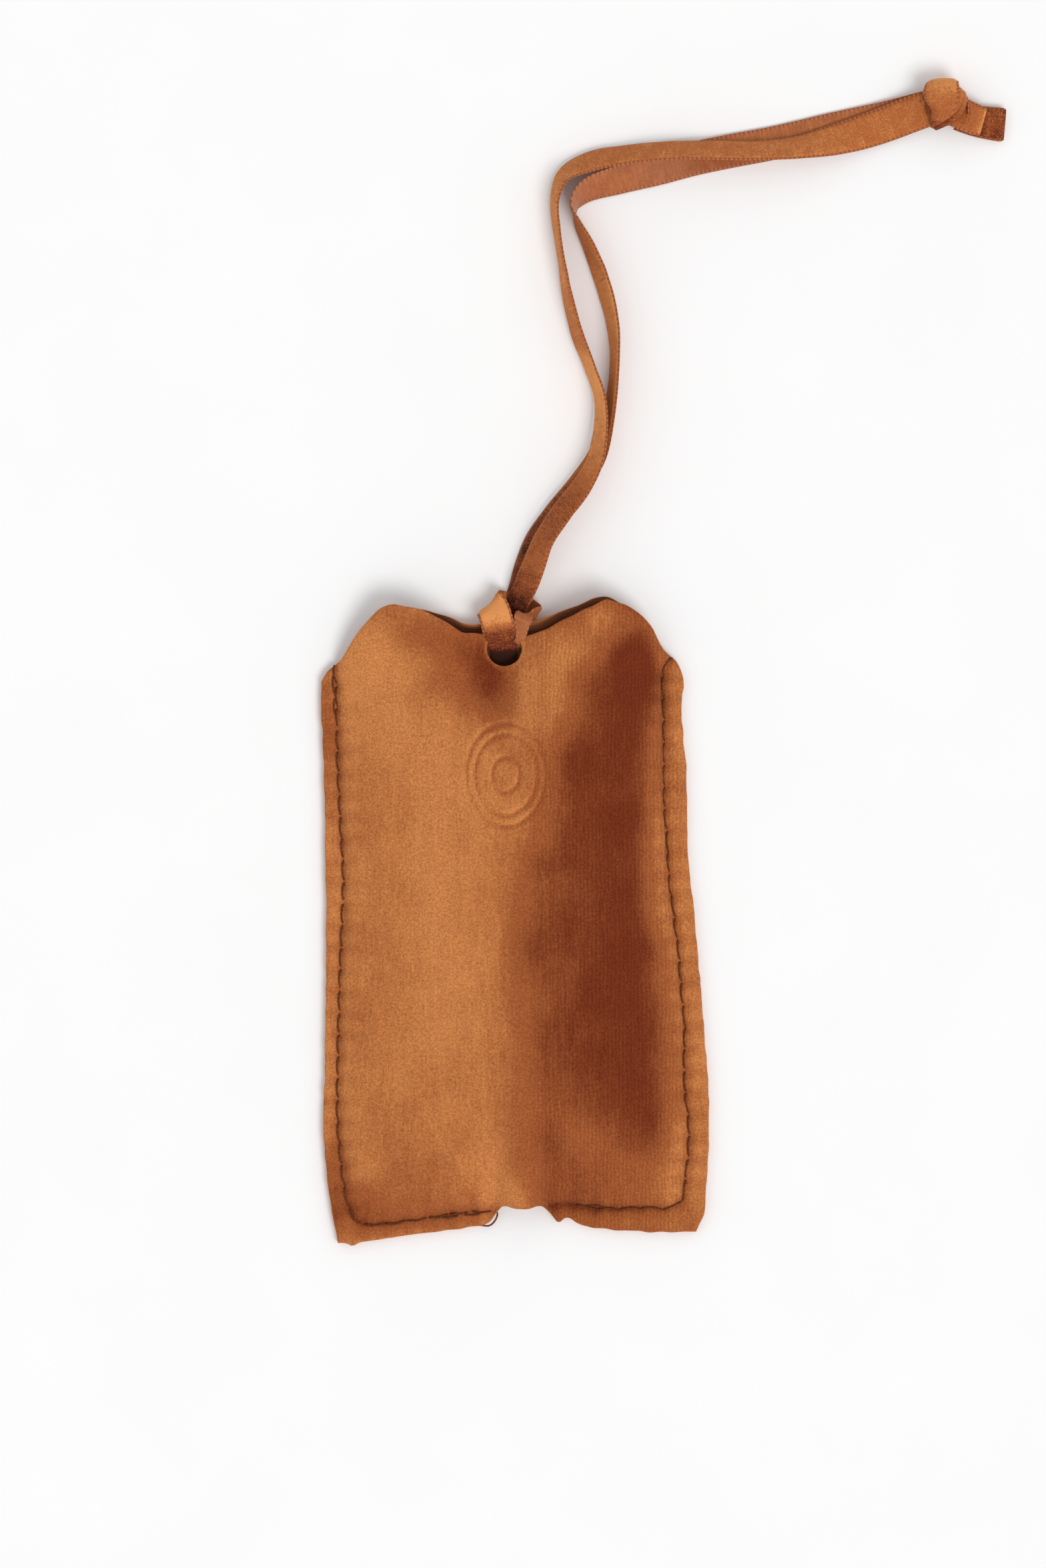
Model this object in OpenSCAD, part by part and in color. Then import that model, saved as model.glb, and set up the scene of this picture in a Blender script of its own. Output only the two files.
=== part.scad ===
// Small velour pouch: two panels sewn together along both sides and the
// bottom, open at the mouth, with a velvet ribbon loop hitched through a
// punched hole and knotted at its far end.
// It lies on its back: +X right, +Y towards the ribbon, +Z up.

/* [Panels] */
// Thickness of one velour panel
panel_t = 0.9; // [0.6:0.1:1.2]
// Clear space between the panels at the seams
seam_gap = 0.15; // [0.1:0.05:0.3]
// Height of the empty pocket at its middle
pocket_h = 8; // [7:0.2:10]
// Height of the arch in the bottom edge, between the two seams
arch_h = 6.4; // [6:0.2:7.5]
// Diameter of the punched hole
hole_d = 6.5; // [6:0.1:7]

/* [Stitching] */
// Diameter of the sewing thread
thread_d = 0.4; // [0.3:0.05:0.45]
// Distance from one stitch to the next
stitch_pitch = 4.1; // [3:0.1:5]
// Length of one stitch as part of the pitch
stitch_share = 0.8; // [0.6:0.05:0.9]

/* [Ribbon] */
// Width of the ribbon
ribbon_w = 6.2; // [5.5:0.1:6.4]
// Thickness of the ribbon
ribbon_t = 0.6; // [0.4:0.1:0.6]
// Height of the knot
knot_h = 6; // [5:0.5:7]

/* [Hidden] */

velour = [0.74, 0.45, 0.25];
thread_brown = [0.33, 0.19, 0.11];

// Edges of the panels: [place along the edge, place across it]
left_edge = [[-60.7, -32.9], [-50, -34.8], [-38, -35.8], [-20, -35.4], [0, -35.2],
             [20, -35.5], [40, -36.2], [46, -36.3]];
right_edge = [[-58, 34.2], [-52, 35.6], [-40, 36.3], [-22, 35.6], [-4, 34.2], [12, 32.6],
              [30, 32], [40, 31.3], [46, 31.5]];
bottom_edge = [[-33, -60.7], [-14, -57.8], [-7, -56.7], [-3, -53.2], [1.5, -53.4],
               [5.5, -53.2], [9, -56], [14, -57], [34, -57.9]];
top_edge = [[-36.3, 45], [-33.5, 48.2], [-28, 56], [-22.5, 59.4], [-16, 57.9], [-9, 54.1],
            [-2, 53.4], [4, 54], [11, 57.4], [17.3, 60.3], [22.5, 58.2], [26.2, 53.4],
            [29.8, 49.4], [31.5, 45.4]];
nominal_y = [-58, 47];

// The back panel stands this much higher than the front one behind the hitch
back_rise = 1.9;
back_rise_w = 12;

// Seam lines, from the mouth down the side and along the bottom
left_seam = [[-33.7, 47.2], [-33.1, 32], [-32.4, 18], [-32, 9], [-32.4, -4], [-33, -26],
             [-33, -38], [-32.2, -47], [-30.8, -53.2], [-28.8, -56.2], [-13.5, -54.8],
             [-4.2, -53.7]];
right_seam = [[28.4, 48.8], [28, 40], [28.1, 22], [28.8, 11], [30.2, -2], [31.2, -12],
              [31.8, -22], [32.2, -34], [32.5, -44], [31.8, -51.6], [28.8, -53.7],
              [14, -53.6], [7.2, -53.5]];
side_points = 8;
bottom_seam = [[-28.8, -56.2], [-4.2, -53.7], [7.2, -53.5], [28.8, -53.7]];
side_margin = 2;
bottom_margin = 3.4;

hole = [-2, 51.3];
pinch_depth = 0.92;
pinch_size = [9.5, 13];
arch_x = 1.5;
arch_half_w = 5.2;
bottom_rise = 26;
fullness = 0.6;
across_cells = 36;
along_cells = 32;
edge_steps = 40;

// The ribbon's own path inside the hitch
swivel = [2, 63];
channel_w = 6.8;
channel_h = 0.6;
hitch_z = 4;

// Ribbon routes: [x, y, z, roll], roll 0 lies flat with the velvet up and
// 90 stands on one edge
strand_front = [[2, 63, 4.2, 36], [3.6, 67, 4.7, 44], [5.4, 71.6, 5, 50],
                [9, 77, 4.9, 50], [12.4, 81.4, 4.8, 53], [14.8, 86, 4.6, 60],
                [16, 92, 4.1, 66], [15.9, 98, 3.6, 71], [14.1, 103.6, 3.3, 73],
                [11.8, 109.6, 3.3, 71], [10, 116.5, 3.3, 74], [8.9, 123, 3.3, 80],
                [7.9, 129.6, 3.3, 80], [7.5, 135, 3.3, 76], [9.2, 139.8, 3.1, 62],
                [14, 142.3, 2.9, 50], [21, 143.7, 3.2, 52], [30, 144.4, 3.9, 52],
                [38, 144.4, 3.9, 51], [46, 144.4, 3.5, 50], [53.5, 145.1, 3, 40],
                [60, 146.5, 2.1, 18], [67, 148.6, 1.3, 0], [76.5, 152, 2.6, 0]];
strand_back = [[1.2, 63, 2.2, 36], [2.4, 67, 2.3, 40], [4.2, 71.7, 2.4, 44],
               [8, 77, 2.5, 45], [12, 82, 2.6, 48], [15.4, 87.5, 2.8, 56],
               [17.3, 94, 3.1, 67], [18.3, 100, 3.2, 74], [18.7, 106, 3.2, 76],
               [18.3, 112, 3.2, 70], [16.6, 119, 3.1, 66], [14, 126, 3.1, 70],
               [11.7, 131.2, 3.2, 84], [11.2, 134.4, 3.2, 106], [13.6, 137, 2.7, 128],
               [20, 139.2, 2.1, 146], [26.5, 141, 1.6, 158], [33, 142.9, 0.8, 172],
               [40, 144.4, 0.5, 178], [48, 145.9, 0.4, 180], [57, 148, 0.4, 180],
               [66, 150.3, 0.5, 180], [76.5, 153, 1.4, 180]];

knot_lobes = [[78.3, 154], [79, 150.4], [83.4, 150.3]];
tail_start = 84.5;
tail_y = 150.2;
tail_tilt = -6;

function lerp(a, b, t) = a + (b - a) * t;
function clamp(v, lo, hi) = max(lo, min(hi, v));

// A smooth curve through knots [place, value]
function knot_at(t, k, i = 0) = (i >= len(k) - 2 || t < k[i + 1][0]) ? i : knot_at(t, k, i + 1);
function slope(k, i) =
    let (a = max(i - 1, 0), b = min(i + 1, len(k) - 1))
    (k[b][1] - k[a][1]) / (k[b][0] - k[a][0]);
function curve(t, k) =
    let (i = knot_at(t, k), w = k[i + 1][0] - k[i][0], s = clamp((t - k[i][0]) / w, 0, 1))
    k[i][1] * (1 + 2 * s) * pow(1 - s, 2) + k[i + 1][1] * s * s * (3 - 2 * s)
    + w * (slope(k, i) * s * pow(1 - s, 2) - slope(k, i + 1) * s * s * (1 - s));

// A place on the flat panel, from u across and v along; rise lifts its top edge
function panel_x(u, v) =
    let (y = lerp(nominal_y[0], nominal_y[1], v))
    lerp(curve(y, left_edge), curve(y, right_edge), u);
function top_y(x, rise) = curve(x, top_edge) + rise * exp(-pow((x - hole[0]) / back_rise_w, 2));
function panel_point(u, v, rise) =
    let (x = panel_x(u, v))
    [x, lerp(curve(x, bottom_edge), top_y(x, rise), v)];
function panel_outline(rise) = [
    for (i = [0:edge_steps - 1]) panel_point(i / edge_steps, 0, rise),
    for (i = [0:edge_steps - 1]) panel_point(1, i / edge_steps, rise),
    for (i = [0:edge_steps - 1]) panel_point(1 - i / edge_steps, 1, rise),
    for (i = [0:edge_steps - 1]) panel_point(0, 1 - i / edge_steps, rise)];

// How far the front panel stands off the back one
function seam_side(seam) = [for (i = [0:side_points]) [seam[i][1], seam[i][0]]];
function bulge(x, y) =
    let (xl = lookup(y, seam_side(left_seam)) + side_margin,
         xr = lookup(y, seam_side(right_seam)) - side_margin,
         across = pow(sin(180 * clamp((x - xl) / (xr - xl), 0, 1)), fullness),
         up = clamp((y - lookup(x, bottom_seam) - bottom_margin) / bottom_rise, 0, 1),
         lift = pow(sin(90 * up), fullness),
         arch = cos(90 * clamp((x - arch_x) / arch_half_w, -1, 1)),
         pinch = exp(-pow((x - hole[0]) / pinch_size[0], 2) - pow((y - hole[1]) / pinch_size[1], 2)))
    (pocket_h * across * lift + arch_h * arch * (1 - lift)) * (1 - pinch_depth * pinch);

// A point on a polyline at a distance from its start, and its whole length
function step_len(p, i) = norm(p[i + 1] - p[i]);
function path_len(p, i = 0) = i > len(p) - 2 ? 0 : step_len(p, i) + path_len(p, i + 1);
function along(p, d, i = 0) =
    (i >= len(p) - 2 || d <= step_len(p, i))
    ? p[i] + (p[i + 1] - p[i]) * d / step_len(p, i)
    : along(p, d - step_len(p, i), i + 1);

// One straight stitch after the other, each as its start and end
function stitches(seam) =
    let (n = floor(path_len(seam) / stitch_pitch))
    [for (i = [0:n - 1]) [along(seam, i * stitch_pitch),
                          along(seam, (i + stitch_share) * stitch_pitch)]];

module front_shell() {
    bottom_z = panel_t + seam_gap;
    nu = across_cells + 1;
    nv = along_cells + 1;
    flat = [for (j = [0:along_cells]) for (i = [0:across_cells])
            panel_point(i / across_cells, j / along_cells, 0)];
    low = [for (p = flat) [p[0], p[1], bottom_z + bulge(p[0], p[1])]];
    high = [for (p = low) p + [0, 0, panel_t]];
    m = nu * nv;
    cells = [for (j = [0:along_cells - 1]) for (i = [0:across_cells - 1]) i + j * nu];
    rim = [for (i = [0:across_cells - 1]) i,
           for (j = [0:along_cells - 1]) across_cells + j * nu,
           for (i = [0:across_cells - 1]) m - 1 - i,
           for (j = [0:along_cells - 1]) (along_cells - j) * nu];
    polyhedron(
        points = concat(low, high),
        faces = concat(
            [for (c = cells) [c, c + 1, c + nu + 1]],
            [for (c = cells) [c, c + nu + 1, c + nu]],
            [for (c = cells) [m + c, m + c + nu + 1, m + c + 1]],
            [for (c = cells) [m + c, m + c + nu, m + c + nu + 1]],
            [for (k = [0:len(rim) - 1]) let (a = rim[k], b = rim[(k + 1) % len(rim)])
             [a, m + a, m + b]],
            [for (k = [0:len(rim) - 1]) let (a = rim[k], b = rim[(k + 1) % len(rim)])
             [a, m + b, b]]));
}

module punched_hole(height) {
    translate([hole[0], hole[1], -1])
        cylinder(h = height + 2, d = hole_d, $fn = 48);
}

module bar_between(a, b, z, width) {
    d = b - a;
    translate([a[0], a[1], z])
        rotate([0, 90, atan2(d[1], d[0])])
        cylinder(h = norm(d), d = width, $fn = 16);
}

module stitch_run(seam, z) {
    for (s = stitches(seam))
        bar_between(s[0], s[1], z, thread_d);
}

// Shallow pockets that the lower thread sinks into
module thread_pockets(seam) {
    depth = thread_d + 0.1;
    for (s = stitches(seam)) {
        d = s[1] - s[0];
        translate([s[0][0], s[0][1], 0])
            rotate([0, 0, atan2(d[1], d[0])])
            translate([-0.1, -depth / 2, -depth])
            cube([norm(d) + 0.2, depth, 2 * depth]);
    }
}

module back_panel() {
    color(velour)
    difference() {
        linear_extrude(height = panel_t)
            polygon(panel_outline(back_rise));
        punched_hole(panel_t);
        translate([hole[0] - channel_w / 2, hole[1], -channel_h])
            cube([channel_w, 10, 2 * channel_h]);
        thread_pockets(left_seam);
        thread_pockets(right_seam);
    }
}

module front_panel() {
    color(velour)
    difference() {
        front_shell();
        punched_hole(pocket_h + 2 * panel_t);
    }
}

module needle_thread(seam) {
    color(thread_brown)
    stitch_run(seam, 2 * panel_t + seam_gap + thread_d / 2 + 0.05);
}

module bobbin_thread(seam) {
    color(thread_brown)
    stitch_run(seam, thread_d / 2 + 0.02);
}

module left_needle_thread() {
    needle_thread(left_seam);
}

module left_bobbin_thread() {
    bobbin_thread(left_seam);
}

module right_needle_thread() {
    needle_thread(right_seam);
}

module right_bobbin_thread() {
    bobbin_thread(right_seam);
}

module post(at, r, z0, z1) {
    translate([at[0], at[1], z0])
        cylinder(h = z1 - z0, r = r, $fn = 32);
}

// Both ribbon ends under the back panel, the loop up through the hole and
// over the mouth, and the first stretch of both strands
module ribbon_hitch() {
    floor_gap = 0.03;
    run_w = channel_w - 0.6;
    leg_top = hitch_z + ribbon_t;
    left_knuckle = [-3.6, 58];
    right_knuckle = [2.7, 57.6];
    top_knuckle = [-1.8, 60.2];
    color(velour) {
        post(hole, hole_d / 2 - 0.6, floor_gap, leg_top);
        translate([hole[0] - run_w / 2, hole[1], floor_gap])
            cube([run_w, left_knuckle[1] - hole[1], channel_h - 0.1]);
        hull() {
            post(hole, 2.4, hitch_z, leg_top);
            post(left_knuckle, 2.2, hitch_z, leg_top);
        }
        hull() {
            post(hole, 2.2, hitch_z, leg_top);
            post(right_knuckle, 1.6, hitch_z, leg_top);
        }
        hull() {
            post(left_knuckle, 1.7, floor_gap, leg_top);
            post(right_knuckle, 1.3, floor_gap, leg_top);
            post(top_knuckle, 1.2, floor_gap, leg_top);
        }
        hull() {
            post([0.6, 59.6], 1.8, 0.6, leg_top);
            post([swivel[0] - 0.3, swivel[1] - 1.7], 0.8, 0.6, leg_top);
        }
    }
}

// Cross-section of the ribbon, eight corners as [along the width, through it]
function ribbon_section(share) =
    let (a = ribbon_w / 2 * share, b = ribbon_t / 2, c = 0.15)
    [[a, -b / 2], [a, b / 2], [a - c, b], [c - a, b],
     [-a, b / 2], [-a, -b / 2], [c - a, -b], [a - c, -b]];

function route_dir(r, i) =
    let (a = r[max(i - 1, 0)], b = r[min(i + 1, len(r) - 1)], d = [b[0] - a[0], b[1] - a[1], b[2] - a[2]])
    d / norm(d);

function ribbon_ring(r, i) =
    let (t = route_dir(r, i),
         h = cross(t, [0, 0, 1]) / norm(cross(t, [0, 0, 1])),
         u = cross(h, t),
         w = h * cos(r[i][3]) + u * sin(r[i][3]),
         n = cross(w, t),
         share = min(1, 0.3 + 0.35 * i))
    [for (q = ribbon_section(share)) [r[i][0], r[i][1], r[i][2]] + w * q[0] + n * q[1]];

module ribbon_sweep(route) {
    sides = 8;
    rings = len(route);
    last = (rings - 1) * sides;
    polyhedron(
        points = [for (i = [0:rings - 1]) each ribbon_ring(route, i)],
        faces = concat(
            [[for (k = [0:sides - 1]) k]],
            [[for (k = [0:sides - 1]) last + sides - 1 - k]],
            [for (i = [0:rings - 2]) for (k = [0:sides - 1])
             let (a = i * sides, k2 = (k + 1) % sides) [a + k, a + sides + k, a + sides + k2]],
            [for (i = [0:rings - 2]) for (k = [0:sides - 1])
             let (a = i * sides, k2 = (k + 1) % sides) [a + k, a + sides + k2, a + k2]]));
}

module ribbon_strand_front() {
    color(velour)
    ribbon_sweep(strand_front);
}

module ribbon_strand_back() {
    color(velour)
    ribbon_sweep(strand_back);
}

module ribbon_knot() {
    color(velour)
    hull()
        for (lobe = knot_lobes)
            translate([lobe[0], lobe[1], knot_h / 2])
            sphere(d = knot_h, $fn = 24);
}

module tail(length, z) {
    color(velour)
    translate([tail_start, tail_y, z])
        rotate([0, 0, tail_tilt])
        translate([0, -ribbon_w / 2, 0])
        cube([length, ribbon_w, ribbon_t]);
}

module ribbon_tail_front() {
    tail(3.6, 2.4);
}

module ribbon_tail_back() {
    tail(7.1, 1);
}

back_panel();
front_panel();
left_needle_thread();
left_bobbin_thread();
right_needle_thread();
right_bobbin_thread();
ribbon_hitch();
ribbon_strand_front();
ribbon_strand_back();
ribbon_knot();
ribbon_tail_front();
ribbon_tail_back();
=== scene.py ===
"""The looks of a small velour pouch with a velvet ribbon loop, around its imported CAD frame.

The pouch lies on its back: +X right, +Y towards the ribbon, +Z up. Sizes below are in
millimetres, and MM turns them into metres, the unit of every Blender object here.
"""
import math

import bpy
import numpy as np
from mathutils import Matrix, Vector


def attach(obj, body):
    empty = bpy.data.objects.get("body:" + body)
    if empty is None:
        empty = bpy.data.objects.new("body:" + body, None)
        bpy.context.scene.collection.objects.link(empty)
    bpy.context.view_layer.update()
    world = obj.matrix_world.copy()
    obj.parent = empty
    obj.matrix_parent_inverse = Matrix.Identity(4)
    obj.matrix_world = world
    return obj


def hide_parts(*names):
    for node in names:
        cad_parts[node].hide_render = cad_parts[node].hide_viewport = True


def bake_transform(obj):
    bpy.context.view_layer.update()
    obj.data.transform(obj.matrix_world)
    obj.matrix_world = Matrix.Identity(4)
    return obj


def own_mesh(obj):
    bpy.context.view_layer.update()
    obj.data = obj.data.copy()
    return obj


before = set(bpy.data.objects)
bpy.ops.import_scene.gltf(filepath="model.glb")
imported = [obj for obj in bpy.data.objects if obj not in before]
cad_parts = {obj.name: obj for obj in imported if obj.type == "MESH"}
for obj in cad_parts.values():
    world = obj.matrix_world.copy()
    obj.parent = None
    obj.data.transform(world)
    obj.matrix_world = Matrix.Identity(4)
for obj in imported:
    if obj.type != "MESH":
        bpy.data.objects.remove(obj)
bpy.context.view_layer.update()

MM = 0.001

# ---------------------------------------------------------------- camera
VIEW_CENTRE = (1.5, 25.9)      # what the middle of the picture looks at
VIEW_HEIGHT = 293.9            # what the picture covers from bottom to top
CAMERA_DISTANCE = 1500.0
SENSOR = 36.0


def add_camera():
    """Straight down on the pouch, with +Y upwards in the picture."""
    data = bpy.data.cameras.new("camera")
    data.sensor_fit = "VERTICAL"
    data.sensor_height = SENSOR
    data.lens = SENSOR * CAMERA_DISTANCE / VIEW_HEIGHT
    data.clip_start = 0.01
    data.clip_end = 20
    camera = bpy.data.objects.new("camera", data)
    camera.location = (VIEW_CENTRE[0] * MM, VIEW_CENTRE[1] * MM, CAMERA_DISTANCE * MM)
    bpy.context.scene.collection.objects.link(camera)
    bpy.context.scene.camera = camera


# ---------------------------------------------------------------- curves and noise
def smooth_curve(t, knots):
    """The value at t of a smooth curve through knots (place, value), as the CAD draws its edges."""
    k = np.array(knots, float)
    place, value = k[:, 0], k[:, 1]
    before = np.maximum(np.arange(len(k)) - 1, 0)
    after = np.minimum(np.arange(len(k)) + 1, len(k) - 1)
    slope = (value[after] - value[before]) / (place[after] - place[before])
    t = np.asarray(t, float)
    i = np.clip(np.searchsorted(place, t, side="right") - 1, 0, len(k) - 2)
    w = place[i + 1] - place[i]
    s = np.clip((t - place[i]) / w, 0, 1)
    ends = value[i] * (1 + 2 * s) * (1 - s) ** 2 + value[i + 1] * s * s * (3 - 2 * s)
    return ends + w * (slope[i] * s * (1 - s) ** 2 - slope[i + 1] * s * s * (1 - s))


def smooth_path(points, step):
    """Points of any width on a smooth curve through the given ones, about step apart."""
    p = np.array(points, float)
    gaps = np.linalg.norm(np.diff(p[:, :3], axis=0), axis=1)
    place = np.concatenate([[0], np.cumsum(gaps)])
    fine = np.linspace(0, place[-1], int(place[-1] / step * 4))
    dense = np.stack([smooth_curve(fine, np.stack([place, c], 1)) for c in p.T], 1)
    run = np.concatenate([[0], np.cumsum(np.linalg.norm(np.diff(dense[:, :3], axis=0), axis=1))])
    even = np.linspace(0, run[-1], max(int(run[-1] / step), 2) + 1)
    return np.stack([np.interp(even, run, c) for c in dense.T], 1)


NOISE_CELLS = 64       # the noise repeats after this many blobs
NOISE_SHIFT = 1000     # keeps the places that it is looked up at above 0


def soft_noise(x, y, size, seed):
    """Smooth noise from -1 to 1 over the plane, with blobs of the given size."""
    rng = np.random.default_rng(seed)
    grid = rng.uniform(-1, 1, (NOISE_CELLS, NOISE_CELLS))
    gx, gy = np.asarray(x) / size + NOISE_SHIFT, np.asarray(y) / size + NOISE_SHIFT
    ix, iy = np.floor(gx).astype(int), np.floor(gy).astype(int)
    fx, fy = gx - ix, gy - iy
    fx, fy = fx * fx * (3 - 2 * fx), fy * fy * (3 - 2 * fy)

    def at(a, b):
        return grid[(ix + a) % NOISE_CELLS, (iy + b) % NOISE_CELLS]

    low = at(0, 0) * (1 - fx) + at(1, 0) * fx
    high = at(0, 1) * (1 - fx) + at(1, 1) * fx
    return low * (1 - fy) + high * fy


def bump(d, width):
    """1 at 0, falling smoothly to 0 a width away."""
    return np.exp(-(np.asarray(d) / width) ** 2)


def ease(t):
    """0 to 1 smoothly as t goes from 0 to 1."""
    t = np.clip(t, 0, 1)
    return t * t * (3 - 2 * t)


# ---------------------------------------------------------------- making objects
def make_object(name, verts, faces, materials, face_material=None, attributes=None):
    """A smooth-shaded mesh object; verts are in millimetres."""
    mesh = bpy.data.meshes.new(name)
    mesh.from_pydata((np.asarray(verts) * MM).tolist(), [], [list(map(int, f)) for f in faces])
    mesh.polygons.foreach_set("use_smooth", [True] * len(mesh.polygons))
    for material in materials:
        mesh.materials.append(material)
    if face_material is not None:
        mesh.polygons.foreach_set("material_index", np.asarray(face_material, np.int32))
    for key, values in (attributes or {}).items():
        layer = mesh.attributes.new(key, "FLOAT", "POINT")
        layer.data.foreach_set("value", np.asarray(values, np.float32))
    mesh.update()
    obj = bpy.data.objects.new(name, mesh)
    bpy.context.scene.collection.objects.link(obj)
    return obj


# ---------------------------------------------------------------- materials
def new_material(name):
    """A material with its node tree, its Principled node and a helper that adds nodes."""
    material = bpy.data.materials.new(name)
    material.use_nodes = True
    nodes = material.node_tree.nodes
    links = material.node_tree.links
    shader = nodes["Principled BSDF"]

    def add(kind, inputs=None, **settings):
        node = nodes.new(kind)
        for key, value in settings.items():
            setattr(node, key, value)
        for key, value in (inputs or {}).items():
            if hasattr(value, "is_output"):
                links.new(value, node.inputs[key])
            else:
                node.inputs[key].default_value = value
        return node

    return material, shader, add, links


def mesh_value(add, name):
    """A value that make_object kept in the mesh under this name."""
    return add("ShaderNodeAttribute", attribute_name=name).outputs["Fac"]


def srgb(r, g, b):
    """A colour written as 0 to 255 on a screen, as the linear colour that shaders take."""
    def linear(v):
        v = v / 255
        return v / 12.92 if v <= 0.04045 else ((v + 0.055) / 1.055) ** 2.4
    return (linear(r), linear(g), linear(b), 1)


def ramp(add, factor, stops):
    """A colour ramp through (place, colour) stops."""
    node = add("ShaderNodeValToRGB", {"Fac": factor})
    node.color_ramp.interpolation = "EASE"
    elements = node.color_ramp.elements
    while len(elements) < len(stops):
        elements.new(0.5)
    for element, (place, colour) in zip(elements, stops):
        element.position = place
        element.color = colour
    return node.outputs["Color"]


def mix(add, factor, a, b, mode="MIX"):
    """Two colours mixed."""
    node = add("ShaderNodeMix", data_type="RGBA", blend_type=mode)
    colours = [s for s in node.inputs if s.type == "RGBA"]
    links = node.id_data.links
    for socket, value in zip([node.inputs[0], *colours], [factor, a, b]):
        if hasattr(value, "is_output"):
            links.new(value, socket)
        else:
            socket.default_value = value
    return [s for s in node.outputs if s.type == "RGBA"][0]


def math_node(add, operation, a, b=0.0, clamp=False):
    """One arithmetic step."""
    return add("ShaderNodeMath", {0: a, 1: b}, operation=operation, use_clamp=clamp).outputs[0]


def pile_noise(add, scale, stretch=(1, 1, 1), detail=3.0, rough=0.6):
    """Noise in object space, where scale 1000 is one blob a millimetre."""
    where = add("ShaderNodeTexCoord").outputs["Object"]
    mapped = add("ShaderNodeMapping", {"Vector": where, "Scale": stretch}).outputs[0]
    noise = add("ShaderNodeTexNoise", {"Vector": mapped, "Scale": scale,
                                       "Detail": detail, "Roughness": rough})
    return noise.outputs["Fac"]


def add_noises(add, shade, noises):
    """A shade made uneven by (noise, weight) pairs."""
    for noise, weight in noises:
        part = math_node(add, "MULTIPLY", math_node(add, "SUBTRACT", noise, 0.5), weight)
        shade = math_node(add, "ADD", shade, part)
    return shade


def finish_shader(parts, colour, settings, relief=None):
    """Join a colour to the shader, set its inputs by name and add a relief, given as height,
    strength and distance in metres."""
    material, shader, add, links = parts
    links.new(colour, shader.inputs["Base Color"])
    for key, value in settings.items():
        shader.inputs[key].default_value = value
    if relief is not None:
        height, strength, distance = relief
        bumps = add("ShaderNodeBump", {"Height": height, "Strength": strength,
                                       "Distance": distance})
        links.new(bumps.outputs[0], shader.inputs["Normal"])
    return material


DARK_PILE = srgb(112, 44, 18)
MID_PILE = srgb(160, 88, 46)
LIGHT_PILE = srgb(208, 133, 75)
GRAIN_DARK = (0.74, 0.71, 0.68, 1)
GRAIN_LIGHT = (1.2, 1.2, 1.2, 1)
RIB_SCALE = 2 * math.pi / (20 * 0.00072)       # knitted ribs 0.72 mm apart


def velour_material():
    """Short dense pile: its shade follows which way it is brushed, and painted shade and light of
    folds, slopes, seams and pressed lines, all kept in the mesh as one value.
    """
    parts = new_material("velour_pile")
    add = parts[2]
    nap_and_painted_shade = mesh_value(add, "nap_and_painted_shade")
    fine = pile_noise(add, 1900, detail=2)
    streak = pile_noise(add, 900, stretch=(2.6, 0.25, 1), detail=2)
    cloud = pile_noise(add, 160, detail=4)
    shade = add_noises(add, nap_and_painted_shade, ((fine, 0.3), (streak, 0.22), (cloud, 0.16)))
    colour = ramp(add, shade, [(0.0, DARK_PILE), (0.5, MID_PILE), (1.0, LIGHT_PILE)])
    ribs = add("ShaderNodeTexWave", {"Vector": add("ShaderNodeTexCoord").outputs["Object"],
                                     "Scale": RIB_SCALE, "Distortion": 4.5, "Detail": 2.0,
                                     "Detail Scale": 0.6}, bands_direction="X").outputs["Fac"]
    ribbed = mesh_value(add, "ribbed")
    rib_colour = ramp(add, ribs, [(0.2, (0.9, 0.88, 0.85, 1)), (0.8, (1.06, 1.07, 1.08, 1))])
    colour = mix(add, ribbed, colour, mix(add, 1.0, colour, rib_colour, "MULTIPLY"))
    grain = ramp(add, pile_noise(add, 3000, detail=1.5), [(0.25, GRAIN_DARK), (0.75, GRAIN_LIGHT)])
    colour = mix(add, 1.0, colour, grain, "MULTIPLY")
    # lighter at the cut edge, and on the back panel's lip past the front one's edge, where it is
    # painted light
    edge = mesh_value(add, "cut_edge_and_lip_light")
    colour = mix(add, edge, colour, srgb(178, 104, 58))
    height = math_node(add, "ADD", fine, math_node(add, "MULTIPLY", streak, 0.8))
    return finish_shader(parts, colour, {
        "Roughness": 0.95, "Specular IOR Level": 0.15, "Sheen Weight": 0.35,
        "Sheen Roughness": 0.45, "Sheen Tint": srgb(235, 170, 115)}, (height, 0.5, 0.00012))


def lining_material():
    """The knitted wrong side of the velour, seen inside the mouth."""
    parts = new_material("velour_knit_back")
    add = parts[2]
    where = add("ShaderNodeTexCoord").outputs["Object"]
    rows = add("ShaderNodeTexWave", {"Vector": where, "Scale": 900, "Distortion": 1.5,
                                     "Detail": 1.0}, bands_direction="Y").outputs["Fac"]
    grain = pile_noise(add, 2000)
    shade = math_node(add, "ADD", math_node(add, "MULTIPLY", rows, 0.5),
                      math_node(add, "MULTIPLY", grain, 0.5))
    colour = ramp(add, shade, [(0.2, srgb(130, 72, 40)), (0.8, srgb(182, 110, 66))])
    # painted shadow in the gap beside the front panel's edge, kept in the mesh
    depth = mesh_value(add, "depth")
    colour = mix(add, depth, colour, srgb(44, 20, 11))
    # lighter at the cut edge, and on the back panel's lip past the front one's edge, where it is
    # painted light
    edge = mesh_value(add, "cut_edge_and_lip_light")
    colour = mix(add, edge, colour, srgb(216, 138, 86))
    return finish_shader(parts, colour, {"Roughness": 0.9}, (shade, 0.4, 0.0001))


def cross_streaks(add):
    """Uneven rows across a ribbon, from the millimetres along and across it kept in the mesh."""
    along = mesh_value(add, "along")
    across = mesh_value(add, "across")
    place = add("ShaderNodeCombineXYZ", {"X": along, "Y": math_node(add, "MULTIPLY", across, 0.14)})
    return add("ShaderNodeTexNoise", {"Vector": place.outputs[0], "Scale": 1.9,
                                      "Detail": 2.0, "Roughness": 0.6}).outputs["Fac"]


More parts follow.
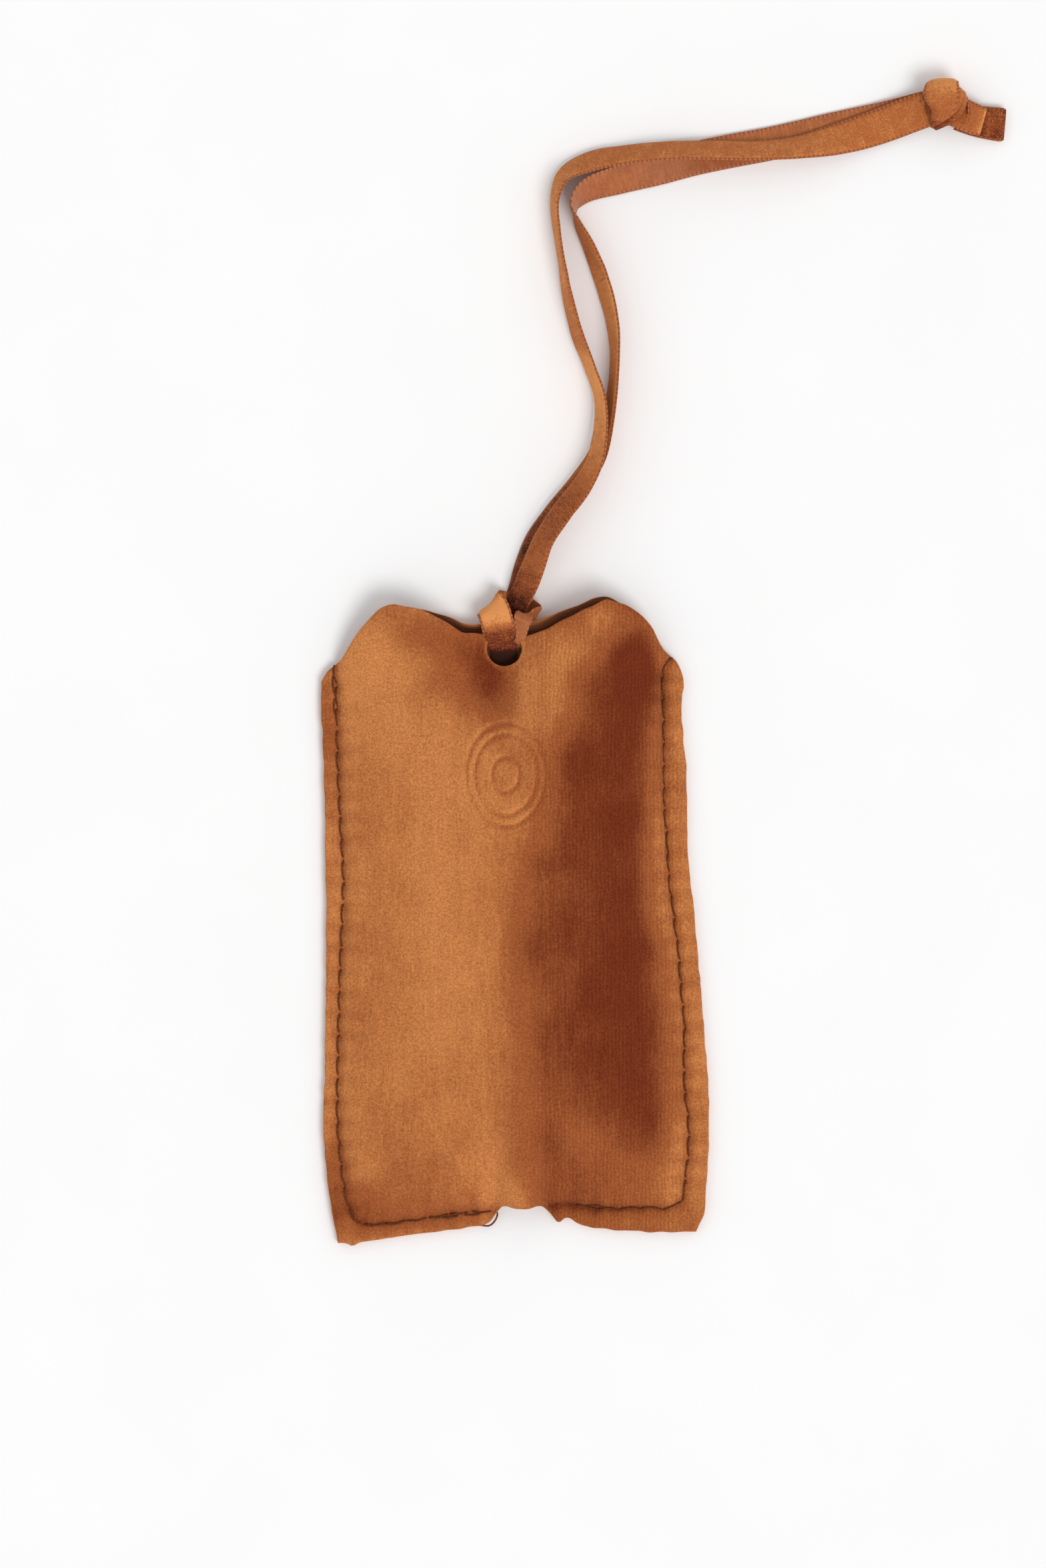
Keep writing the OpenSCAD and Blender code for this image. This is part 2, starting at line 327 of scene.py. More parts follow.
def ribbon_velvet_material():
    """The ribbon's velvet face; darker where the pile is brushed away, with painted shadow where it
    goes down into the hole and under the hitch, and painted light where it stands on edge.
    """
    parts = new_material("ribbon_velvet")
    add = parts[2]
    nap_and_painted_shade = mesh_value(add, "nap_and_painted_shade")
    fine = pile_noise(add, 4000, detail=2)
    cloud = pile_noise(add, 420, detail=3)
    shade = add_noises(add, nap_and_painted_shade, ((fine, 1.0), (cloud, 0.4), (cross_streaks(add), 0.32)))
    # the stop at 0 is painted shadow, for the ribbon down in the hole
    colour = ramp(add, shade, [(0.0, srgb(54, 22, 12)), (0.1, srgb(116, 50, 23)),
                               (0.5, srgb(176, 98, 50)), (1.0, srgb(226, 150, 86))])
    selvedge = mesh_value(add, "selvedge")
    dots = mesh_value(add, "picot")
    weave = ramp(add, dots, [(0.25, srgb(148, 80, 44)), (0.7, srgb(184, 110, 64))])
    # the woven edge is painted darker too where the ribbon is painted into shade
    weave = mix(add, 1.0, weave, ramp(add, nap_and_painted_shade, [(0.0, (0.45, 0.4, 0.38, 1)),
                                                 (0.45, (1, 1, 1, 1))]), "MULTIPLY")
    return finish_shader(parts, mix(add, selvedge, colour, weave), {
        "Roughness": 0.85, "Specular IOR Level": 0.2, "Sheen Weight": 0.4,
        "Sheen Roughness": 0.4, "Sheen Tint": srgb(240, 175, 120)}, (fine, 0.5, 0.0001))


def ribbon_satin_material():
    """The ribbon's smooth pinkish back, woven across its width."""
    parts = new_material("ribbon_satin_back")
    add = parts[2]
    cloud = pile_noise(add, 300, detail=3)
    rib = pile_noise(add, 3200, detail=2)
    shade = math_node(add, "ADD", math_node(add, "MULTIPLY", cloud, 0.35),
                      math_node(add, "MULTIPLY", rib, 0.35))
    shade = math_node(add, "ADD", shade, math_node(add, "MULTIPLY", cross_streaks(add), 0.3))
    colour = ramp(add, shade, [(0.3, srgb(150, 80, 43)), (0.7, srgb(188, 113, 64))])
    dots = mesh_value(add, "picot")
    selvedge = mesh_value(add, "selvedge")
    weave = ramp(add, dots, [(0.25, srgb(138, 72, 42)), (0.7, srgb(186, 112, 70))])
    return finish_shader(parts, mix(add, selvedge, colour, weave), {
        "Roughness": 0.5, "Specular IOR Level": 0.2, "Sheen Weight": 0.15}, (rib, 0.3, 0.00006))


def thread_material():
    """Dark brown spun thread."""
    parts = new_material("sewing_thread")
    add = parts[2]
    fuzz = pile_noise(add, 5000, detail=2)
    colour = ramp(add, fuzz, [(0.3, srgb(72, 36, 20)), (0.75, srgb(132, 75, 43))])
    return finish_shader(parts, colour, {"Roughness": 0.85, "Specular IOR Level": 0.1},
                         (fuzz, 0.4, 0.00005))


def floor_material():
    """Pale plain paper."""
    parts = new_material("pale_floor")
    add = parts[2]
    grain = pile_noise(add, 30, detail=2)
    colour = ramp(add, grain, [(0.0, srgb(250, 250, 250)), (1.0, srgb(253, 253, 253))])
    return finish_shader(parts, colour, {"Roughness": 0.9})


VELOUR = velour_material()
LINING = lining_material()
VELVET = ribbon_velvet_material()
SATIN = ribbon_satin_material()
THREAD = thread_material()


# ---------------------------------------------------------------- ribbon
RIBBON_W = 6.2         # over all
RIBBON_BASE = 0.22     # thickness of the woven ground
PILE_H = 0.32          # the pile stands this far above it
SELVEDGE_W = 0.45      # bare woven edge on each side of the pile
PICOT_PITCH = 0.85     # from one small loop of the woven edge to the next
FLOOR_GAP = 0.03       # the ribbon stays this far above the floor
SCALLOP = 0.06         # how far the woven edge waves from picot to picot
RIPPLE = 0.05          # how far the ribbon is from smooth
RING_STEP = 0.35       # from one ring of the mesh to the next
FACE_POINTS = 15       # points of each ring on the pile
BACK_POINTS = 7        # points of each ring on the flat back

# Routes of the two strands in the CAD, x, y, z and roll in degrees; roll 0 lies flat with
# the velvet up and 90 stands on one edge
STRAND_FRONT = [
    (2, 63, 4.2, 36), (3.6, 67, 4.7, 44), (5.4, 71.6, 5, 50), (9, 77, 4.9, 50),
    (12.4, 81.4, 4.8, 53), (14.8, 86, 4.6, 60), (16, 92, 4.1, 66), (15.9, 98, 3.6, 71),
    (14.1, 103.6, 3.3, 73), (11.8, 109.6, 3.3, 71), (10, 116.5, 3.3, 74),
    (8.9, 123, 3.3, 80), (7.9, 129.6, 3.3, 80), (7.5, 135, 3.3, 76), (9.2, 139.8, 3.1, 62),
    (14, 142.3, 2.9, 50), (21, 143.7, 3.2, 52), (30, 144.4, 3.9, 52), (38, 144.4, 3.9, 51),
    (46, 144.4, 3.5, 50), (53.5, 145.1, 3, 40), (60, 146.5, 2.1, 18), (67, 148.6, 1.3, 0),
    (76.5, 152, 2.6, 0)]
STRAND_BACK = [
    (1.2, 63, 2.2, 36), (2.4, 67, 2.3, 40), (4.2, 71.7, 2.4, 44), (8, 77, 2.5, 45),
    (12, 82, 2.6, 48), (15.4, 87.5, 2.8, 56), (17.3, 94, 3.1, 67), (18.3, 100, 3.2, 74),
    (18.7, 106, 3.2, 76), (18.3, 112, 3.2, 70), (16.6, 119, 3.1, 66), (14, 126, 3.1, 70),
    (11.7, 131.2, 3.2, 84), (11.2, 134.4, 3.2, 106), (13.6, 137, 2.7, 128),
    (20, 139.2, 2.1, 146), (26.5, 141, 1.6, 158), (33, 142.9, 0.8, 172),
    (40, 144.4, 0.5, 178), (48, 145.9, 0.4, 180), (57, 148, 0.4, 180), (66, 150.3, 0.5, 180),
    (76.5, 153, 1.4, 180)]
# Below the swing each strand comes from behind the pouch, over the mouth's edge
BASE_FRONT = [(-1.9, 51.2, 0.75, 0), (-1.8, 54.6, 0.8, 2), (-1.0, 57, 1.2, 8),
              (0.4, 59.8, 2.5, 24)]
BASE_BACK = [(-1.9, 51.2, 0.3, 0), (-1.9, 54.8, 0.3, 2), (-1.3, 57.2, 0.5, 12),
             (0.0, 60, 1.4, 28)]


def unit(v):
    """Each vector of an array, made 1 long."""
    return v / np.maximum(np.linalg.norm(v, axis=-1, keepdims=True), 1e-9)


def rolled(points):
    """The across direction of a ribbon at each point of a route with roll."""
    p = np.asarray(points, float)
    along = unit(np.gradient(p[:, :3], axis=0))
    right = unit(np.cross(along, (0, 0, 1)))
    up = np.cross(right, along)
    roll = np.radians(p[:, 3])[:, None]
    return right * np.cos(roll) + up * np.sin(roll)


def ribbon_section(width):
    """The ribbon's outline as (across, through, velvet, selvedge) rows: pile, then flat back."""
    half = width / 2
    inner = half - SELVEDGE_W
    across = np.linspace(-inner, inner, FACE_POINTS)
    crown = RIBBON_BASE / 2 + PILE_H * (1 - (np.abs(across) / inner) ** 10 * 0.6)
    rows = [(-half, 0, 1, 1), (-half + 0.1, RIBBON_BASE / 2, 1, 1),
            (-inner - 0.05, RIBBON_BASE / 2, 1, 1)]
    rows += [(a, c, 1, 0) for a, c in zip(across, crown)]
    rows += [(inner + 0.05, RIBBON_BASE / 2, 1, 1), (half - 0.1, RIBBON_BASE / 2, 1, 1),
             (half, 0, 0, 1), (half - 0.1, -RIBBON_BASE / 2, 0, 1),
             (inner, -RIBBON_BASE / 2, 0, 0.6)]
    rows += [(a, -RIBBON_BASE / 2, 0, 0) for a in np.linspace(inner * 0.8, -inner * 0.8, BACK_POINTS)]
    rows += [(-inner, -RIBBON_BASE / 2, 0, 0.6), (-half + 0.1, -RIBBON_BASE / 2, 0, 1)]
    return np.array(rows)


def ribbon_object(name, centre, across, nap_and_painted_shade, share=None, cup=None):
    """A velvet ribbon swept along centre, its width along across; share narrows it and cup
    bends it over its width, both one value a point."""
    section = ribbon_section(RIBBON_W)
    rings, sides = len(centre), len(section)
    share = np.ones(rings) if share is None else np.asarray(share)
    cup = np.zeros(rings) if cup is None else np.asarray(cup)
    along = unit(np.gradient(centre, axis=0))
    across = unit(across - along * np.sum(across * along, 1)[:, None])
    normal = np.cross(across, along)
    run = np.concatenate([[0], np.cumsum(np.linalg.norm(np.diff(centre, axis=0), axis=1))])
    picot = 0.5 + 0.5 * np.cos(2 * math.pi * run / PICOT_PITCH)
    half = RIBBON_W / 2
    a = section[None, :, 0] * share[:, None]
    scallop = SCALLOP * (picot[:, None] - 0.5) * np.sign(section[None, :, 0])
    a = a + scallop * (np.abs(section[None, :, 0]) > half - 0.2)
    b = section[None, :, 1] + cup[:, None] * (1 - (2 * section[None, :, 0] / RIBBON_W) ** 2)
    ripple = RIPPLE * soft_noise(run[:, None] + section[None, :, 0] * 0.3,
                               section[None, :, 0], 2.5, 11)
    verts = (centre[:, None] + across[:, None] * a[..., None]
             + normal[:, None] * (b + ripple)[..., None]).reshape(-1, 3)
    verts[:, 2] = np.maximum(verts[:, 2], FLOOR_GAP)
    k = np.arange(sides)
    k2 = (k + 1) % sides
    start = np.arange(rings - 1)[:, None] * sides
    faces = np.stack([start + k, start + k2, start + sides + k2, start + sides + k], -1)
    faces = faces.reshape(-1, 4)
    face_side = np.tile((section[k, 2] + section[k2, 2] < 2).astype(int), rings - 1)
    caps = [list(range(sides))[::-1], list(range((rings - 1) * sides, rings * sides))]
    faces = [list(f) for f in faces] + caps
    face_side = np.concatenate([face_side, [0, 0]])
    return make_object(name, verts, faces, [VELVET, SATIN], face_side,
                       {"nap_and_painted_shade": np.repeat(np.asarray(nap_and_painted_shade), sides),
                        "selvedge": np.tile(section[:, 3], rings),
                        "picot": np.repeat(picot, sides), "along": np.repeat(run, sides),
                        "across": np.tile(section[:, 0], rings)})


# ---------------------------------------------------------------- panels
PANEL_T = 0.9
SEAM_GAP = 0.15        # between the two panels at a seam
POCKET_H = 8.0         # how far the front panel stands off in the middle of the pocket
ARCH_H = 6.4           # the same at the gap in the bottom seam
ARCH_X = 1.5           # the middle of that gap
ARCH_HALF_W = 5.2
LIFT_LENGTH = 26       # the pocket is full this far above the bottom seam
SWELL = 0.6            # below 1, the pocket rises steeply from its seams
PINCH = 0.92           # the share of the pocket's height that the hitched ribbon takes away
PINCH_SIZE = (9.5, 13)       # over this far around the hole
HOLE = (-2.0, 51.2)
HOLE_R = 3.25
RIM_REACH = 0.36       # grid points this near to the hole's rim are moved onto it
NOMINAL_Y = (-58, 47)  # where the side edges begin and end
PANEL_SPAN = (68, 113)       # the panel's usual width and length, which its grid is spread over
EDGE_ROWS = (0, 0.12, 0.3, 0.55, 0.85)       # grid lines crowd at these distances from the cut
INNER_ROWS = 1.25      # and are even from here on
CUT_ROUGH = 0.13       # how ragged the cut is
CURL_H = 2.4           # how far the back panel's top edge curls up

LEFT_EDGE = [(-60.5, -32.8), (-57, -33.3), (-50, -34.7), (-45, -35.2), (-38, -35.8),
             (-22, -35.5), (-5, -35.3), (5, -35.3), (23, -35.6), (33, -35.9), (41, -36.2),
             (46, -36.3)]
RIGHT_EDGE = [(-58, 33.9), (-56.4, 34.7), (-54.7, 35.4), (-51.3, 35.6), (-46, 36),
              (-40, 36.3), (-32, 36.2), (-22, 35.6), (-15, 35), (-9, 34.5), (-2, 34),
              (4, 33.4), (10, 32.7), (18, 32.2), (23, 32.2), (30.5, 32), (37, 31.4),
              (42.3, 31.2), (45.4, 31.5), (47, 31.5)]
BOTTOM_EDGE = [(-33, -60), (-31.6, -60.1), (-30.4, -60.6), (-28.8, -59.9), (-13.5, -57.7),
               (-7.4, -56.9), (-4.8, -56), (-3.4, -54.2), (-2.2, -53), (0, -53.3),
               (2.5, -53.3), (5, -53.1), (6.1, -53.9), (6.9, -54.8), (8.1, -56.2),
               (9.4, -55.4), (10.4, -55.5), (11.5, -56.3), (13.3, -56.9), (19, -57.6),
               (26.5, -58), (34, -57.8)]
TOP_EDGE = [(-36.3, 45.1), (-35.2, 46.9), (-33.8, 48.1), (-32.3, 49.4), (-31, 51.6),
            (-29.3, 54.2), (-27.3, 56.6), (-25.3, 58.6), (-23.9, 59.2), (-22.4, 59.4),
            (-21, 59.1), (-17.4, 58.4), (-14.5, 57.1), (-11.6, 55.4), (-9.4, 54.1),
            (-6.9, 54.1), (-2, 53.8), (3.4, 53.9), (5.8, 54.8), (8.4, 56.2), (11, 57.4),
            (12.5, 58.2), (15.9, 59.9), (17.3, 60.3), (19.1, 59.9), (21.1, 59.1),
            (23, 57.8), (24.8, 56.3), (25.9, 54.8), (26.6, 53.1), (27.4, 51.6),
            (28.1, 50.7), (29.8, 49.4), (30.6, 48.4), (31.3, 46.4), (31.5, 45.4)]
LEFT_SEAM = [(-33.8, 48.1), (-33.3, 43.4), (-33.1, 31.7), (-32.5, 17.8), (-32, 8.9),
             (-32.4, -3.8), (-32.8, -16), (-33.1, -33.7), (-32.8, -41), (-31.6, -50.8),
             (-30.6, -54.2), (-29, -56.2), (-25.5, -56.4), (-21, -55.9), (-13.5, -54.8),
             (-9.6, -54.2), (-3.9, -53.9)]
RIGHT_SEAM = [(29.4, 49.5), (28.1, 47.6), (27.8, 45.5), (28, 40), (28, 32.7), (28.1, 21.6),
              (28.6, 16), (28.8, 11.4), (29.1, 6.8), (29.8, 2.8), (30.2, -1.6), (30.8, -5.4),
              (31.1, -9.7), (31.4, -14), (31.9, -19), (31.8, -25), (32, -32.2),
              (32.6, -36), (32.6, -42.9), (32, -48), (31.7, -51.4), (30.4, -52.9),
              (28.4, -53.7), (24, -53.6), (19, -53.8), (13.8, -53.6), (11.2, -52.9),
              (8.6, -52.8), (6.9, -53.2)]
BOTTOM_SEAM = [(-29, -56.2), (-4, -53.8), (7, -53.3), (28.8, -53.7)]
# How far the back panel's top edge stands above the front one's, over x
RISE = [(-37, 0), (-18, 0.1), (-14, 0.9), (-10.3, 1.8), (-7, 1.7), (-2, 2), (4, 2.6), (7.5, 2.1),
        (11, 1.6), (14.5, 1.3), (17.5, 0.6), (20, 0), (37, 0)]
GAP_SHADE = 0.75       # the lining is painted with shadow this far either side of the front panel's edge


def panel_grid(cells, rise, seed):
    """The plan of a panel: x and y of every grid vertex, and how far each is from the cut
    edge. rise lifts the top edge behind the ribbon; seed roughens the cut."""
    def spaced(count, size):
        edge = np.array(EDGE_ROWS) / size
        inner = np.linspace(INNER_ROWS / size, 1 - INNER_ROWS / size, count)
        return np.concatenate([edge, inner, 1 - edge[::-1]])

    uu, vv = np.meshgrid(*(spaced(count, size) for count, size in zip(cells, PANEL_SPAN)))
    level = NOMINAL_Y[0] + (NOMINAL_Y[1] - NOMINAL_Y[0]) * vv
    x = (smooth_curve(level, LEFT_EDGE) * (1 - uu) + smooth_curve(level, RIGHT_EDGE) * uu)
    top = smooth_curve(x, TOP_EDGE) + (smooth_curve(x, RISE) if rise else 0)
    y = smooth_curve(x, BOTTOM_EDGE) * (1 - vv) + top * vv
    to_side = np.minimum(uu, 1 - uu) * PANEL_SPAN[0]
    to_end = np.minimum(vv, 1 - vv) * PANEL_SPAN[1]
    x = x + CUT_ROUGH * bump(to_side, 2.5) * soft_noise(y, x * 0, 2.1, seed)
    y = y + CUT_ROUGH * bump(to_end, 2.5) * soft_noise(x, y * 0, 2.1, seed + 1)
    return x, y, np.minimum(to_side, to_end)


NEARNESS_STEP = 0.5    # the seam's points that nearness is measured to are this far apart
NEARNESS_PARTS = 40    # so many parts of a panel's vertices, one after another, to spare memory


def seam_nearness(x, y, seam):
    """How far every place is from a seam, and how many stitches along it the nearest point is."""
    line = smooth_path([(a, b, 0) for a, b in seam], NEARNESS_STEP)[:, :2]
    run = np.linspace(0, round(len(line) * NEARNESS_STEP / STITCH_PITCH), len(line))
    flat = np.stack([x.ravel(), y.ravel()], 1)
    far, where = [], []
    for part in np.array_split(flat, NEARNESS_PARTS):
        gap = np.linalg.norm(part[:, None] - line[None], axis=2)
        nearest = gap.argmin(1)
        far.append(gap[np.arange(len(part)), nearest])
        where.append(run[nearest])
    return np.concatenate(far).reshape(x.shape), np.concatenate(where).reshape(x.shape)


def fullness(x, y, margin):
    """How far the front panel stands off the back one, as in the CAD but with its own margin."""
    left = sorted((b, a) for a, b in LEFT_SEAM[:11])
    right = sorted((b, a) for a, b in RIGHT_SEAM[:21])
    xl = np.interp(y, *zip(*left)) + margin
    xr = np.interp(y, *zip(*right)) - margin
    across = np.sin(math.pi * np.clip((x - xl) / (xr - xl), 0, 1)) ** SWELL
    floor = np.interp(x, *zip(*BOTTOM_SEAM)) + margin * 1.2
    lift = np.sin(math.pi / 2 * np.clip((y - floor) / LIFT_LENGTH, 0, 1)) ** SWELL
    arch = np.cos(math.pi / 2 * np.clip((x - ARCH_X) / ARCH_HALF_W, -1, 1))
    pinch = np.exp(-((x - HOLE[0]) / PINCH_SIZE[0]) ** 2 - ((y - HOLE[1]) / PINCH_SIZE[1]) ** 2)
    return (POCKET_H * across * lift + ARCH_H * arch * (1 - lift)) * (1 - PINCH * pinch)


# Places where the pile is brushed lighter or darker, and painted shade and light of the folds around
# the hole and of the humps beside it: x, y, half width, half height, how much
BRUSHED_AND_SHADED = [
    (-7.5, 51, 7, 5.5, -0.44), (-3.8, 45.5, 4.2, 5.5, -0.34), (-8.5, 43.5, 5, 5, -0.24),
    (-3.8, 39.5, 4, 4.5, -0.18), (-17, 43, 5, 4, -0.12), (1.8, 46, 2.5, 4, 0.18),
    (-16, 53.5, 7, 4, -0.3), (-24, 58, 4, 2, -0.1), (-28, 49, 6, 6, 0.25),
    (8, 50, 5, 7, 0.5), (7.6, 40.5, 5, 6.5, 0.44), (6, 29, 3, 8, 0.15), (16.5, 57, 5, 4.5, 0.6),
    (14, 51, 4, 4, 0.25), (24.5, 46.5, 4, 7, -0.3), (1, 33, 3, 13, 0.16),
    (27, 52.5, 2.5, 2.5, 0.2), (11, 33, 4, 7, -0.1), (-25, 36, 5, 7, 0.14), (6, 17, 3, 5, 0.12),
    (-35.3, 37, 1.8, 11, -0.3), (1.5, -4, 3, 8, -0.17), (3.5, -2.5, 4, 5, -0.1),
    (4.5, 11.5, 4, 4.5, -0.09), (26.5, 9, 3, 12, 0.2),
    (27, -24, 4, 9, -0.16), (26, -40, 3, 5, -0.26), (31.5, -17, 2, 14, 0.08),
    (15, -44, 8, 9, 0.26), (22, -50, 6, 8, 0.36), (-4, -46, 5, 6, 0.15),
    (-1, -53, 5, 4, 0.25), (6.5, -43, 5, 9, -0.12), (-18, -46, 9, 5, -0.2),
    (-12, -34, 13, 11, -0.09), (-19, -55, 16, 3.5, -0.36), (-34, -50.5, 3, 8, -0.4),
    (-28, -55, 5, 4, -0.15), (-21.5, -47.5, 2, 3, -0.1), (-29, -46, 3, 4, 0.15),
    (-17.5, -51, 2.5, 2.5, -0.1), (28, -30, 3, 8, -0.12), (20, -56.5, 12, 2, 0.35),
    (1, 20, 3, 3, 0.13), (9.5, 16, 3.5, 4, -0.12), (-0.5, 31, 3.5, 4, -0.15),
    (10, 8, 3, 3.5, 0.12), (26, -4.5, 2.5, 5, -0.16), (12, -39.5, 5, 3.5, 0.18),
    (19, -46.5, 5, 4, -0.13), (-8, -51, 4, 3.5, -0.15), (-28.5, -51.5, 3, 3, -0.14),
    (23.5, 56, 2.5, 2, 0.15), (26.3, 17, 2, 14, 0.12), (4, -22, 3.5, 8, -0.09),
    (31, -56.5, 5, 3, -0.3), (-29.5, 32, 4, 5, -0.1), (-29, -17, 4, 6, -0.08)]
# How light the pile is over x, without those places; its dark run on the right is painted shade of
# the pocket's right-hand slope
NAP_AND_SHADE_ACROSS = [(-37, 0.84), (-34, 0.82), (-31.5, 0.87), (-29, 0.8), (-24, 0.8), (-19, 0.84),
              (-14, 0.86), (-9, 0.83), (-4, 0.76), (1, 0.6), (6, 0.33), (11, 0.18), (16, 0.09),
              (21, 0.05), (24.5, 0.21), (27.5, 0.54), (29.5, 0.71), (31, 0.75), (36, 0.8)]
RING = (-1.6, 27.5)
RING_SIZE = (7.4, 9.6)       # half the width and half the height of the outermost line
RING_LINES = (1.0, 0.78, 0.34)       # each pressed line's share of that size
RING_LINE_W = 0.42


def ring_relief(x, y):
    """A plain oval rosette pressed into the pile, 1 at the middle of each pressed line."""
    r = np.hypot((x - RING[0]) / RING_SIZE[0], (y - RING[1]) / RING_SIZE[1])
    lines = sum(bump((r - place) * RING_SIZE[1], RING_LINE_W) for place in RING_LINES)
    return np.clip(lines, 0, 1)


def brushed_and_shaded_nap(x, y):
    """Which way the pile lies: 0 dark, brushed from the light, to 1 light, with painted shade and
    light of the folds and slopes added.
    """
    nap_and_painted_shade = smooth_curve(x + 0.8 * soft_noise(x, y, 9, 5), NAP_AND_SHADE_ACROSS)
    for px, py, rx, ry, amount in BRUSHED_AND_SHADED:
        nap_and_painted_shade = nap_and_painted_shade + amount * np.exp(-(((x - px) / rx) ** 2 + ((y - py) / ry) ** 2) * 0.9)
    nap_and_painted_shade = nap_and_painted_shade + 0.05 * soft_noise(x, y, 5, 6) + 0.03 * soft_noise(x * 2.2, y * 0.5, 2.5, 7)
    return nap_and_painted_shade


def seam_marks(x, y):
    """What the two seams do to a panel: how far it is from the nearer one, how deep the groove
    is there, and how the cloth beside it puckers from stitch to stitch."""
    left_far, left_run = seam_nearness(x, y, LEFT_SEAM)
    right_far, right_run = seam_nearness(x, y, RIGHT_SEAM)
    far = np.minimum(left_far, right_far)
    run = np.where(left_far < right_far, left_run, right_run)
    stitch = np.cos(2 * math.pi * run)     # 1 where the thread dives
    groove = bump(far, 0.65) * (0.58 + 0.28 * stitch)
    pucker = bump(far - 1.4, 2.4) * stitch
    return far, groove, pucker


def cut_border(to_edge):
    """0 at the cut edge and 1 from 0.6 mm inwards: how far the cloth has its full thickness."""
    return np.sqrt(np.clip(1 - (1 - np.clip(to_edge / 0.6, 0, 1)) ** 2, 0, 1))


def front_surfaces(x, y, to_edge, groove, pucker):
    """The heights of the front panel's two sides."""
    stand = fullness(x, y, 0.5)
    soft = np.clip(stand / 3, 0, 1)
    middle = PANEL_T * 1.5 + SEAM_GAP + stand + 0.9 * behind_ribbon(x, y)
    middle = middle + soft * (0.35 * soft_noise(x, y, 13, 8) + 0.12 * soft_noise(x, y, 5, 9))
    middle = middle + 0.16 * (1 - soft) * ease(to_edge / 2) * (1 + soft_noise(x, y, 4.5, 10))
    middle = middle - 0.07 * pucker * (0.4 + soft)
    thick = PANEL_T * (0.45 + 0.55 * cut_border(to_edge))
    top = middle + thick / 2 - 0.5 * groove - 0.16 * ring_relief(x, y)
    return top, middle - thick / 2 - 0.1 * groove


def back_surfaces(x, y, to_edge, groove, past_front):
    """The heights of the back panel's two sides; its top edge curls up past the front one's."""
    border = cut_border(to_edge)
    curl = ease((past_front - 0.5) / 1.6) * (1 - bump(x - 0.3, 4.2))
    middle = PANEL_T / 2 + 0.02 + 1.0 * behind_ribbon(x, y) + 0.12 * (1 - border) + CURL_H * curl
    thick = PANEL_T * (0.45 + 0.55 * border)
    low = middle - thick / 2 + 0.35 * groove
    return middle + thick / 2 - 0.15 * groove, np.maximum(low, 0.02)


def behind_ribbon(x, y):
    """1 where the hitched ribbon lifts both panels, falling to 0 around it."""
    return bump(x - HOLE[0], 4.5) * bump(y - 53.5, 5.5)


def shell(inside):
    """The faces of a two-sided sheet over a grid, without the vertices that are inside the hole:
    which vertices are used, the faces of one side and the walls around every cut."""
    rows, cols = inside.shape
    index = np.arange(rows * cols).reshape(rows, cols)
    quads = np.stack([index[:-1, :-1], index[:-1, 1:], index[1:, 1:], index[1:, :-1]], -1)
    quads = quads.reshape(-1, 4)
    quads = quads[~inside.ravel()[quads].any(1)]
    used = np.unique(quads)
    fresh = np.full(rows * cols, -1)
    fresh[used] = np.arange(len(used))
    quads = fresh[quads]
    edges = np.stack([quads, np.roll(quads, -1, 1)], -1).reshape(-1, 2)
    forward = edges[:, 0] * len(used) + edges[:, 1]
    backward = edges[:, 1] * len(used) + edges[:, 0]
    cut = edges[~np.isin(forward, backward)]
    walls = np.stack([cut[:, 1], cut[:, 0], cut[:, 0] + len(used), cut[:, 1] + len(used)], 1)
    return used, quads, walls


